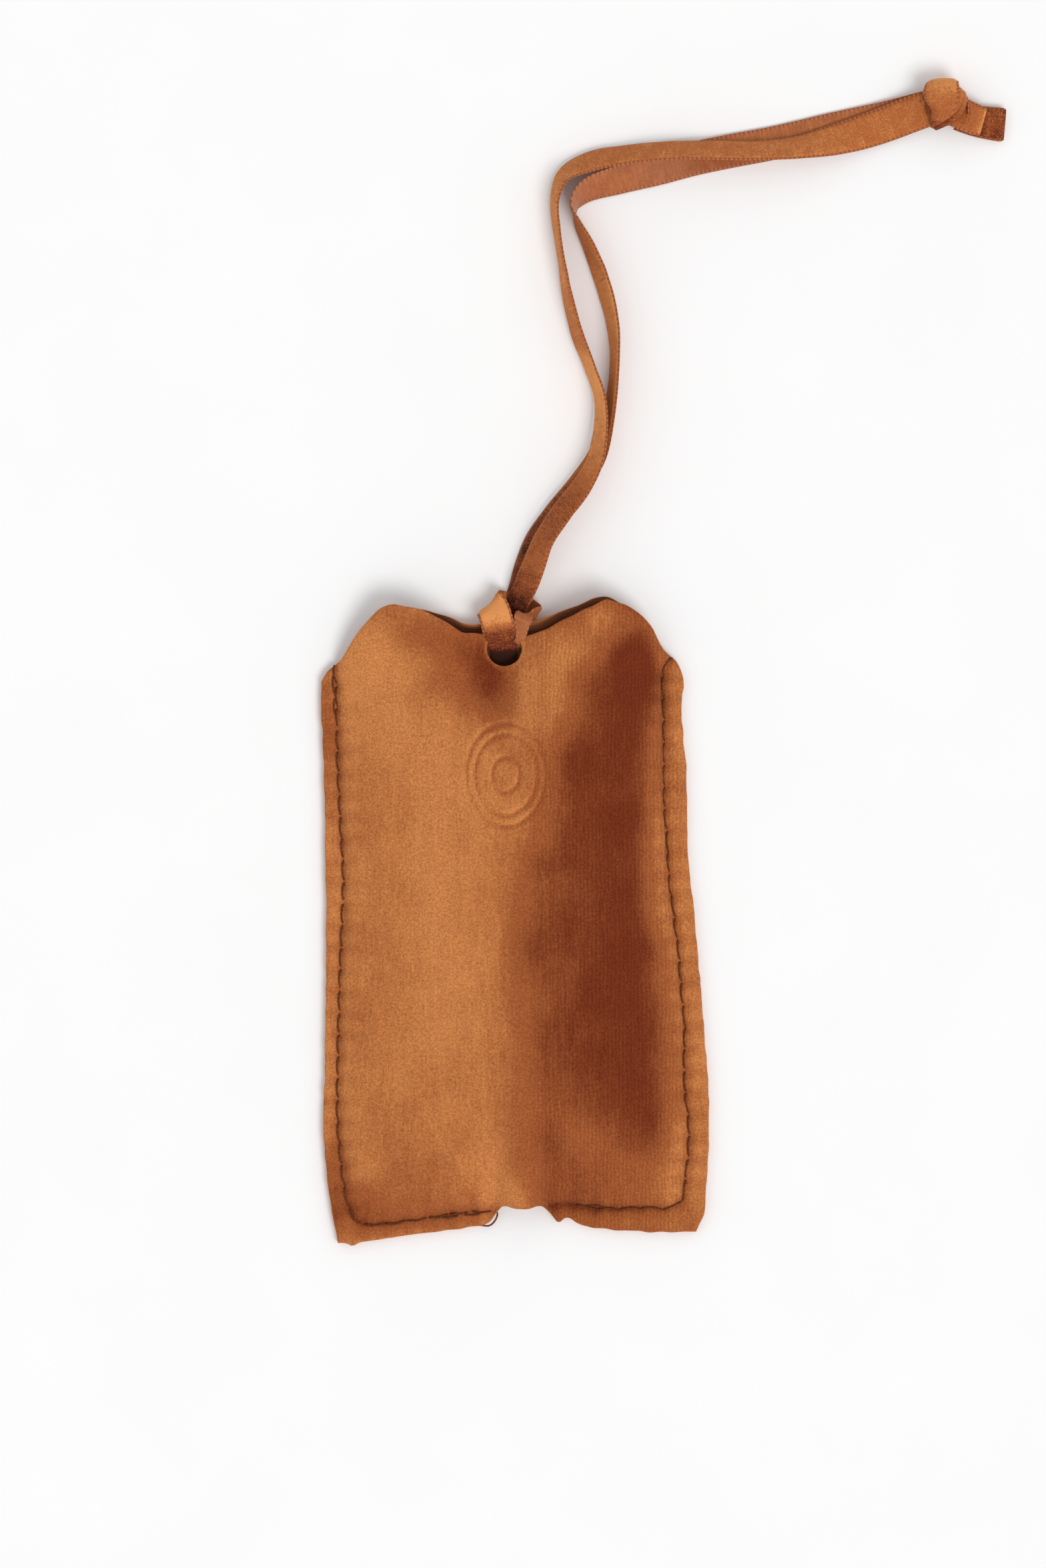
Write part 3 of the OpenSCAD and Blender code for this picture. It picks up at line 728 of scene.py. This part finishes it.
def panel_shell(name, cells, front):
    """One velour panel as a closed two-sided shell with its punched hole."""
    x, y, to_edge = panel_grid(cells, not front, 21 if front else 33)
    far, groove, pucker = seam_marks(x, y)
    # painted shade along each seam: darker in its groove, in a band beside it and in the dips of the
    # puckers
    nap_and_painted_shade = brushed_and_shaded_nap(x, y) - 0.2 * bump(far, 0.5) - 0.05 * pucker - 0.05 * bump(far - 0.9, 0.8)
    ribbed = 0.12 + 0.75 * ease((x - 1) / 6) * ease((34 - x) / 6)
    if front:
        top, low = front_surfaces(x, y, to_edge, groove, pucker)
        # the pressed lines are darker, and a copy shifted half a millimetre is a painted highlight on
        # one side of each line
        nap_and_painted_shade = nap_and_painted_shade - 0.22 * ring_relief(x, y) + 0.14 * ring_relief(x + 0.5, y - 0.5)
        depth = np.zeros_like(x)
        painted_lip_light = np.zeros_like(x)
    else:
        past_front = y - smooth_curve(x, TOP_EDGE)
        top, low = back_surfaces(x, y, to_edge, groove, past_front)
        nap_and_painted_shade = nap_and_painted_shade - 0.12
        # painted shadow on the lining either side of the front panel's edge
        depth = 0.85 * bump(past_front, GAP_SHADE)
        # painted light on the back panel's lip past the front one's edge, which lies in the front
        # panel's shade
        painted_lip_light = 0.85 * ease((past_front - 0.7) / 0.8)

    r = np.hypot(x - HOLE[0], y - HOLE[1])
    snap = np.abs(r - HOLE_R) < RIM_REACH
    scale = np.where(snap, HOLE_R / np.maximum(r, 1e-6), 1)
    x = HOLE[0] + (x - HOLE[0]) * scale
    y = HOLE[1] + (y - HOLE[1]) * scale
    nap_and_painted_shade = nap_and_painted_shade + 0.35 * bump(np.hypot(x - HOLE[0], y - HOLE[1]) - HOLE_R, 0.5)

    used, quads, walls = shell((r < HOLE_R) & ~snap)
    high = np.stack([x, y, top], -1).reshape(-1, 3)[used]
    under = np.stack([x, y, low], -1).reshape(-1, 3)[used]
    faces = np.concatenate([quads, quads[:, ::-1] + len(used), walls])
    outer, inner = (0, 1) if front else (1, 0)
    side = np.concatenate([np.full(len(quads), outer), np.full(len(quads), inner),
                           np.zeros(len(walls))])
    cut_edge_and_lip_light = painted_lip_light.ravel()[used]
    cut_edge_and_lip_light[np.unique(walls[:, :2])] = 1
    kept = {"nap_and_painted_shade": nap_and_painted_shade.ravel()[used], "cut_edge_and_lip_light": cut_edge_and_lip_light, "depth": depth.ravel()[used],
            "ribbed": ribbed.ravel()[used]}
    return make_object(name, np.concatenate([high, under]), faces, [VELOUR, LINING], side,
                       {key: np.tile(values, 2) for key, values in kept.items()})


# ---------------------------------------------------------------- stitches
STITCH_PITCH = 4.1
STITCH_SHARE = 0.9     # the length of a stitch, as a share of its pitch
STITCH_POINTS = 7
STITCH_BOW = 0.28      # how far the middle of a stitch leans out of the seam line
SEAM_STEP = 0.25       # the seam is followed in steps of this length
BACK_TACK = 2          # stitches sewn twice at each end of a seam
TACK_LAG = 0.45        # these start this share of a pitch after the ones below them
TACK_SHIFT = 0.42      # and lie this far beside them
THREAD_R = 0.17
THREAD_SIDES = 10
THREAD_STEP = 0.16     # from one ring of the mesh to the next
PLY_TURN = 1.3         # length in which the two plies go round each other once


def thread_tubes(name, paths):
    """Two-ply thread along each path, all in one object."""
    verts, faces = [], []
    around = np.arange(THREAD_SIDES) / THREAD_SIDES * 2 * math.pi
    for path in paths:
        p = smooth_path(path, THREAD_STEP)
        along = unit(np.gradient(p, axis=0))
        side = unit(np.cross(along, (0, 0, 1)) + (1e-6, 0, 0))
        up = np.cross(side, along)
        twist = np.arange(len(p)) * THREAD_STEP * 2 * math.pi / PLY_TURN
        r = THREAD_R * (0.86 + 0.2 * np.abs(np.cos(around[None] - twist[:, None])))
        ring = (p[:, None] + side[:, None] * (np.cos(around) * r)[..., None]
                + up[:, None] * (np.sin(around) * r)[..., None])
        start = len(verts)
        verts.extend(ring.reshape(-1, 3))
        end = len(verts)
        for first in range(start, end - THREAD_SIDES, THREAD_SIDES):
            for k in range(THREAD_SIDES):
                a, b = first + k, first + (k + 1) % THREAD_SIDES
                faces.append([a, a + THREAD_SIDES, b + THREAD_SIDES, b])
        faces.append(list(range(start, start + THREAD_SIDES)))
        faces.append(list(range(end - THREAD_SIDES, end))[::-1])
    return make_object(name, verts, faces, [THREAD])


def stitch_paths(seam, z, dive, seed):
    """Short arcs along a seam that rise from one needle hole and dive into the next; dive is how
    deep their ends go, and below 0 the arcs lie under the cloth."""
    line = smooth_path([(a, b, 0) for a, b in seam], SEAM_STEP)[:, :2]
    total = (len(line) - 1) * SEAM_STEP
    across = unit(np.gradient(line, axis=0))[:, ::-1] * (1, -1)
    rng = np.random.default_rng(seed)
    count = round(total / STITCH_PITCH)
    pitch = total / count
    starts = [(i * pitch, 0.0) for i in range(count)]
    starts += [((i + TACK_LAG) * pitch, TACK_SHIFT) for i in range(BACK_TACK)]
    starts += [((count - 1 - i - TACK_LAG) * pitch, TACK_SHIFT) for i in range(BACK_TACK)]
    paths = []
    for start, shift in starts:
        length = pitch * (STITCH_SHARE + rng.uniform(-0.05, 0.05))
        where = np.linspace(start, min(start + length, total), STITCH_POINTS)
        lean = rng.uniform(-0.12, 0.12)
        points = []
        for k, w in enumerate(where):
            i = min(int(w / SEAM_STEP), len(line) - 1)
            done = k / (STITCH_POINTS - 1)
            rise = math.sin(math.pi * done)
            xy = line[i] + across[i] * (shift + STITCH_BOW * rise + lean * (done - 0.5))
            points.append((*xy, z - dive + dive * min(1, 2.2 * rise) + 0.1 * rise * np.sign(dive)))
        paths.append(points)
    return paths


# ---------------------------------------------------------------- hitch and knot
def band(name, rows, nap_and_painted_shade, centre_cup=0.0):
    """A ribbon along rows of x, y, z, across x, across y, across z and share of the width."""
    p = smooth_path(rows, RING_STEP)
    run = np.linspace(0, 1, len(p))
    return ribbon_object(name, p[:, :3], unit(p[:, 3:6]), smooth_curve(run, nap_and_painted_shade), p[:, 6],
                         np.full(len(p), centre_cup))


def wrapped(name, points, centre, nap_and_painted_shade, cup):
    """A ribbon laid round a lump: its velvet faces away from the centre."""
    p = smooth_path(points, RING_STEP)
    along = unit(np.gradient(p[:, :3], axis=0))
    across = unit(np.cross(along, unit(p[:, :3] - np.array(centre))))
    run = np.linspace(0, 1, len(p))
    return ribbon_object(name, p[:, :3], across, smooth_curve(run, nap_and_painted_shade), p[:, 3],
                         np.full(len(p), cup))


# The hitch comes up through the hole, goes over the mouth's edge, round behind the strands and
# back into the hole: x, y, z, the across direction and share of the ribbon's width
HITCH_ROWS = [
    (-2.0, 47.9, 0.75, 1, 0, 0, 0.85), (-2.1, 49.8, 1.2, 1, 0, 0, 0.95),
    (-2.3, 51.6, 2.9, 1, 0, 0, 0.98), (-2.8, 53.6, 4.3, 1, 0, 0, 1),
    (-3.3, 56, 5.0, 1, 0.05, 0, 1), (-3.9, 58, 5.1, 0.9, 0.3, 0, 1),
    (-4.4, 59.3, 4.0, 0.72, 0.69, 0, 1), (-3.2, 59.5, 2.2, 0.3, 0.95, 0, 0.9),
    (-0.6, 59.4, 0.9, 0.1, 1, 0, 0.75), (2.2, 59.0, 0.8, 0.25, 0.96, 0.1, 0.62),
    (4.1, 58.0, 1.9, 0.45, 0.88, 0.15, 0.52), (3.3, 57.9, 4.1, 0.8, 0.58, 0.1, 0.5),
    (1.9, 57.4, 5.0, 0.97, 0.2, 0.05, 0.64), (1.4, 56.2, 5.1, 1, 0, 0.05, 0.52),
    (1.3, 54.7, 5.0, 1, 0, 0.05, 0.38), (1.0, 53.1, 4.5, 1, 0, 0, 0.3),
    (0.45, 51.8, 2.9, 1, 0, 0, 0.28), (0.3, 50.9, 1.2, 1, 0, 0, 0.28)]
KNOT_CENTRE = (80.2, 152.6, 3.2)
KNOT_SIZE = (4.1, 4.3, 2.9)
# Each turn of the knot: name, x, y, z and share of the ribbon's width, and nap along it, which is
# painted darker where the turn goes down under the knot
KNOT_TURNS = [
    ("over_wrap", [(81.0, 155.4, 1.2, 0.7), (80.2, 157.0, 2.8, 0.92), (79.8, 156.8, 4.9, 1),
                   (79.6, 155.3, 6.1, 1.1), (79.7, 153.4, 6.4, 0.98), (79.6, 151.7, 6.0, 0.72),
                   (79.0, 150.4, 4.9, 0.46), (78.5, 149.6, 3.3, 0.3), (78.4, 149.4, 1.4, 0.3)],
     [(0, 0.7), (0.25, 0.9), (0.42, 0.72), (0.6, 0.48), (0.78, 0.34), (1, 0.15)]),
    ("first_fold", [(82.9, 155.6, 3.4, 0.3), (82.9, 154.2, 4.9, 0.3), (82.2, 152.4, 5.5, 0.28),
                    (80.9, 151, 5.4, 0.26), (79.4, 150.1, 4.9, 0.24), (78.0, 149.3, 3.8, 0.2)],
     [(0, 0.75), (0.4, 0.45), (1, 0.2)]),
    ("second_fold", [(83.6, 155, 2.8, 0.34), (83.7, 153.6, 4.3, 0.34), (82.9, 151.8, 4.9, 0.3),
                     (81.6, 150.4, 4.8, 0.28), (80, 149.4, 4.3, 0.24), (78.6, 148.9, 3.2, 0.2)],
     [(0, 0.8), (0.4, 0.35), (1, 0.15)]),
    ("under_wrap", [(76.6, 152.4, 1.4, 0.8), (78.6, 154.6, 1.3, 0.9), (81.6, 155.2, 1.5, 0.9),
                    (83.9, 153.4, 2.2, 0.8), (84.2, 151, 2.4, 0.7)],
     [(0, 0.3), (0.5, 0.35), (1, 0.3)])]


def knot_core():
    """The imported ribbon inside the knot, seen only between its turns."""
    rings, around = 16, 28
    steepest = math.radians(83)       # a flat cap closes it above and below
    a = np.linspace(-steepest, steepest, rings)[:, None]
    b = (np.arange(around) / around * 2 * math.pi)[None]
    size = 0.86 + 0.05 * soft_noise(a * 3 + 0 * b, b * 3 + 0 * a, 1.3, 12)
    ball = np.stack([np.cos(a) * np.cos(b), np.cos(a) * np.sin(b), np.sin(a) + 0 * b], -1)
    verts = ball * size[..., None] * KNOT_SIZE + KNOT_CENTRE
    faces = [[i * around + k, i * around + (k + 1) % around,
              (i + 1) * around + (k + 1) % around, (i + 1) * around + k]
             for i in range(rings - 1) for k in range(around)]
    count = rings * around
    faces += [list(range(around))[::-1], list(range(count - around, count))]
    return make_object("ribbon_knot_core", verts.reshape(-1, 3), faces, [VELVET], None,
                       {"nap_and_painted_shade": np.full(count, 0.2), "selvedge": np.zeros(count),
                        "picot": np.zeros(count)})


# ---------------------------------------------------------------- the object
NEEDLE_Z = PANEL_T * 2 + SEAM_GAP + 0.12       # the needle thread lies on the front panel
BOBBIN_Z = 0.32        # and the bobbin thread in the groove under the back one
# The left seam's thread was left long beside the gap in the bottom
LOOSE_END = [(-3.9, -53.9, 1.6), (-3.3, -54.5, 1.5), (-3.7, -55.8, 1.3), (-4.8, -56.8, 1.2),
             (-6.5, -56.7, 1.5)]


def fix_to(piece, body, node):
    """Let a piece ride with a body and stand for a CAD node, which it hides."""
    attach(piece, body)
    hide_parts(node)


add_camera()

front = panel_shell("front_panel_velour", (150, 240), True)
fix_to(front, "pouch", "front_panel")
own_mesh(front)

back = panel_shell("back_panel_velour", (100, 150), False)
fix_to(back, "pouch", "back_panel")

for side_name, seam, seed in (("left", LEFT_SEAM, 3), ("right", RIGHT_SEAM, 4)):
    upper = stitch_paths(seam, NEEDLE_Z, 0.45, seed)
    if side_name == "left":
        upper.append(LOOSE_END)
    needle = thread_tubes(f"{side_name}_needle_thread_stitches", upper)
    fix_to(needle, "pouch", f"{side_name}_needle_thread")
    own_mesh(needle)
    lower = stitch_paths(seam, BOBBIN_Z, -0.3, seed + 10)
    bobbin = thread_tubes(f"{side_name}_bobbin_thread_stitches", lower)
    fix_to(bobbin, "pouch", f"{side_name}_bobbin_thread")

front_path = smooth_path(BASE_FRONT + STRAND_FRONT + [(79.4, 152.8, 3.1, 0)], RING_STEP)
back_path = smooth_path(BASE_BACK + STRAND_BACK + [(79.4, 153.6, 1.7, 180)], RING_STEP)
# Each strand: name, line, nap along it and share of the width at the knot; the nap is painted shadow
# at its base under the hitch and painted light where it stands on edge
STRANDS = [
    ("front", front_path, [(0, 0.2), (0.06, 0.05), (0.08, 0.24), (0.11, 0.4), (0.16, 0.32),
                           (0.2, 0.38), (0.23, 0.64), (0.27, 0.76), (0.31, 0.9), (0.345, 0.86),
                           (0.38, 0.6), (0.42, 0.62), (0.46, 0.7), (0.56, 0.7), (0.6, 0.6),
                           (0.7, 0.6), (0.79, 0.64), (0.83, 0.66), (0.87, 0.62), (1, 0.54)],
     1.08),
    ("back", back_path, [(0, 0.3), (0.06, 0.0), (0.08, 0.1), (0.15, 0.15), (0.3, 0.6),
                         (0.4, 0.85), (0.45, 0.82), (0.5, 0.6), (0.6, 0.55), (1, 0.5)], 0.85)]
for which, path, nap_and_painted_shade, knot_share in STRANDS:
    run = np.linspace(0, 1, len(path))
    share = smooth_curve(run, [(0, 0.7), (0.05, 0.75), (0.1, 1), (0.86, 1), (0.94, knot_share),
                               (1, knot_share)])
    piece = ribbon_object(f"ribbon_strand_{which}_velvet", path[:, :3], rolled(path),
                          smooth_curve(run, nap_and_painted_shade), share)
    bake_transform(piece)
    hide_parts(f"ribbon_strand_{which}")

# its nap starts far below 0, painted shadow where it comes up out of the hole, and falls again where
# it goes back in
hitch = band("ribbon_hitch_velvet", HITCH_ROWS,
             [(0, -0.9), (0.07, -0.6), (0.1, -0.1), (0.13, 0.1), (0.2, 0.2), (0.23, 0.4),
              (0.265, 0.85), (0.34, 0.95), (0.45, 0.4), (0.8, 0.5), (0.95, 0.3), (1, 0.1)])
fix_to(hitch, "pouch", "ribbon_hitch")

knot_pieces = [knot_core()]
for turn, points, nap_and_painted_shade in KNOT_TURNS:
    knot_pieces.append(wrapped(f"ribbon_knot_{turn}", points, KNOT_CENTRE, nap_and_painted_shade, 0.35))
for piece in knot_pieces:
    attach(piece, "ribbon")
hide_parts("ribbon_knot")

# Each tail: name, rows as in HITCH_ROWS, nap along it and how far its middle sags
TAILS = [
    ("front", [(81.2, 152, 4.2, 0.35, -0.94, 0, 0.9), (83.6, 151.2, 3.9, 0.2, -0.98, 0, 0.98),
               (85.6, 150.4, 3.2, 0.05, -1, 0, 0.95), (87.6, 149.8, 2.7, -0.06, -1, 0, 0.86)],
     [(0, 0.3), (0.6, 0.45), (0.9, 0.6), (1, 0.9)], -0.25),
    ("back", [(82.8, 151, 2.2, 0, -1, 0, 0.9), (86, 150.1, 1.6, -0.02, -1, 0, 0.95),
              (89, 149.6, 1.4, -0.05, -1, 0, 1), (91.2, 149.35, 1.4, -0.09, -1, 0, 1.02),
              (91.75, 149.3, 1.4, -0.09, -1, 0, 0.92)],
     [(0, 0.2), (1, 0.25)], -0.3)]
for which, rows, nap_and_painted_shade, sag in TAILS:
    tail = band(f"ribbon_tail_{which}_velvet", rows, nap_and_painted_shade, sag)
    fix_to(tail, "ribbon", f"ribbon_tail_{which}")

# ---------------------------------------------------------------- floor and light
FLOOR_SIZE = 10              # metres, so that no view shows its edge
FLOOR_Z = -0.0001            # metres, just below the pouch
WORLD_STRENGTH = 0.67
KEY_ENERGY = 1.3
KEY_ANGLE = math.radians(28)       # a wide source, for soft shadows
KEY_FROM = (0.55, -0.7, 1.3)


def add_floor():
    """A plain sheet under the pouch."""
    bpy.ops.mesh.primitive_plane_add(size=FLOOR_SIZE, location=(0, 0, FLOOR_Z))
    floor = bpy.context.object
    floor.name = "floor"
    floor.data.materials.append(floor_material())


def add_light(scene):
    """An even white room and one soft sun from the lower right of the pouch."""
    scene.view_settings.view_transform = "Standard"
    world = bpy.data.worlds.new("studio")
    world.use_nodes = True
    background = world.node_tree.nodes["Background"]
    background.inputs["Color"].default_value = (1, 1, 1, 1)
    background.inputs["Strength"].default_value = WORLD_STRENGTH
    scene.world = world
    key = bpy.data.lights.new("key", "SUN")
    key.energy = KEY_ENERGY
    key.angle = KEY_ANGLE
    key_object = bpy.data.objects.new("key", key)
    key_object.rotation_euler = Vector(KEY_FROM).to_track_quat("Z", "Y").to_euler()
    key_object.location = (-0.3, 0.4, 0.8)
    scene.collection.objects.link(key_object)


add_floor()
add_light(bpy.context.scene)
